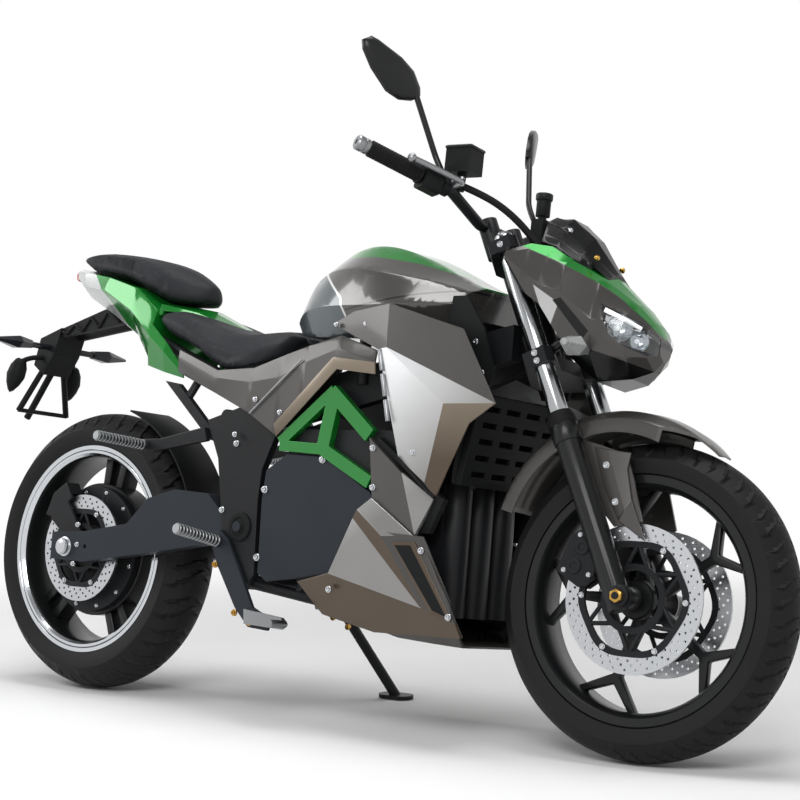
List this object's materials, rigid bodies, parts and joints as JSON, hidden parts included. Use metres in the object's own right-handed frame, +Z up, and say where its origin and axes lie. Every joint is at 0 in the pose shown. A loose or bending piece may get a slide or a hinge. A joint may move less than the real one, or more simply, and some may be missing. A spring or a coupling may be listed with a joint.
{
  "type": "electric street motorcycle",
  "caption": "Unfaired electric street motorcycle with a hub-motor rear wheel, disc brakes and angular body panels, parked leaning on its side stand.",
  "frame": {"origin": "middle of the overall box at floor level, machine leaning on its side stand", "axes": "+X forward along the machine, +Y to the rider's left (the side it leans to), +Z up from the floor"},
  "size_m": [2.0617, 0.7524, 1.3586],
  "materials": {
    "frame_black": "satin black",
    "swingarm_slate": "satin slate",
    "battery_case": "satin black",
    "body_gunmetal": "metallic gunmetal",
    "body_green": "gloss green",
    "trim_black": "matt black",
    "visor_smoke": "gloss black",
    "seat_vinyl": "matt",
    "lamp_clear": "clear",
    "lamp_red": "gloss red",
    "signal_smoke": "smoked",
    "bright_steel": "brushed",
    "chrome": "polished",
    "alloy": "satin",
    "rim_black": "black with bright lip",
    "tyre_rubber": "matt",
    "grip_rubber": "matt",
    "shock_spring": "satin"
  },
  "bodies": {
    "chassis": {"main_frame": "frame_black", "swingarm": "swingarm_slate", "battery_pack": "battery_case", "battery_covers": "swingarm_slate", "trellis_inserts": "body_green", "tank_cover": "body_gunmetal", "tank_shrouds": "body_gunmetal", "inner_panels": "trim_black", "air_guides": "body_gunmetal", "side_covers": "body_gunmetal", "belly_pan": "body_gunmetal", "radiator_grille": "trim_black", "front_housing": "battery_case", "rider_seat": "seat_vinyl", "pillion_seat": "seat_vinyl", "tail_body": "body_green", "tail_wings": "body_green", "seat_hump": "body_green", "tail_lamp": "lamp_red", "plate_hanger": "trim_black", "rear_signals": "signal_smoke", "rear_hugger": "trim_black", "rear_shock": "shock_spring", "foot_brackets": "swingarm_slate", "rider_pegs": "alloy", "brake_pedal": "alloy", "peg_hangers": "frame_black", "passenger_pegs": "alloy", "rear_axle": "bright_steel", "rear_caliper": "frame_black"},
    "front_end": {"fork_clamps": "frame_black", "fork_tubes": "chrome", "fork_legs": "frame_black", "front_axle": "bright_steel", "front_calipers": "frame_black", "front_fender": "body_gunmetal", "handlebar": "frame_black", "grips": "grip_rubber", "bar_ends": "alloy", "controls": "trim_black", "levers": "alloy", "mirrors": "trim_black", "headlight_cowl": "body_gunmetal", "headlamps": "lamp_clear", "visor": "visor_smoke", "dash": "trim_black", "front_signals": "lamp_clear", "loom_right": "grip_rubber", "loom_left": "grip_rubber"},
    "front_wheel": {"front_tyre": "tyre_rubber", "front_rim": "frame_black", "front_discs": "bright_steel"},
    "rear_wheel": {"rear_tyre": "tyre_rubber", "rear_rim": "rim_black", "hub_motor": "rim_black", "rear_disc": "bright_steel"},
    "side_stand": {"side_stand": "frame_black"}
  },
  "joints": [
    {"name": "steering", "type": "hinge", "parent": "chassis", "child": "front_end", "pos_m": [0.69529, -0.10656, 0.27081], "axis": [-0.4226, 0.1261, 0.8975], "range_deg": [-35, 21]},
    {"name": "front_wheel_spin", "type": "hinge", "parent": "front_end", "child": "front_wheel", "pos_m": [0.73936, -0.09779, 0.29033], "axis": [-0.1105, 0.9757, -0.1891], "continuous": true},
    {"name": "rear_wheel_spin", "type": "hinge", "parent": "chassis", "child": "rear_wheel", "pos_m": [-0.70831, -0.10085, 0.31142], "axis": [0, 0.9903, -0.1392], "continuous": true},
    {"name": "side_stand_fold", "type": "hinge", "parent": "chassis", "child": "side_stand", "pos_m": [-0.13331, 0.04437, 0.20948], "axis": [0, 0.9184, 0.3955], "range_deg": [0, 94]}
  ]
}
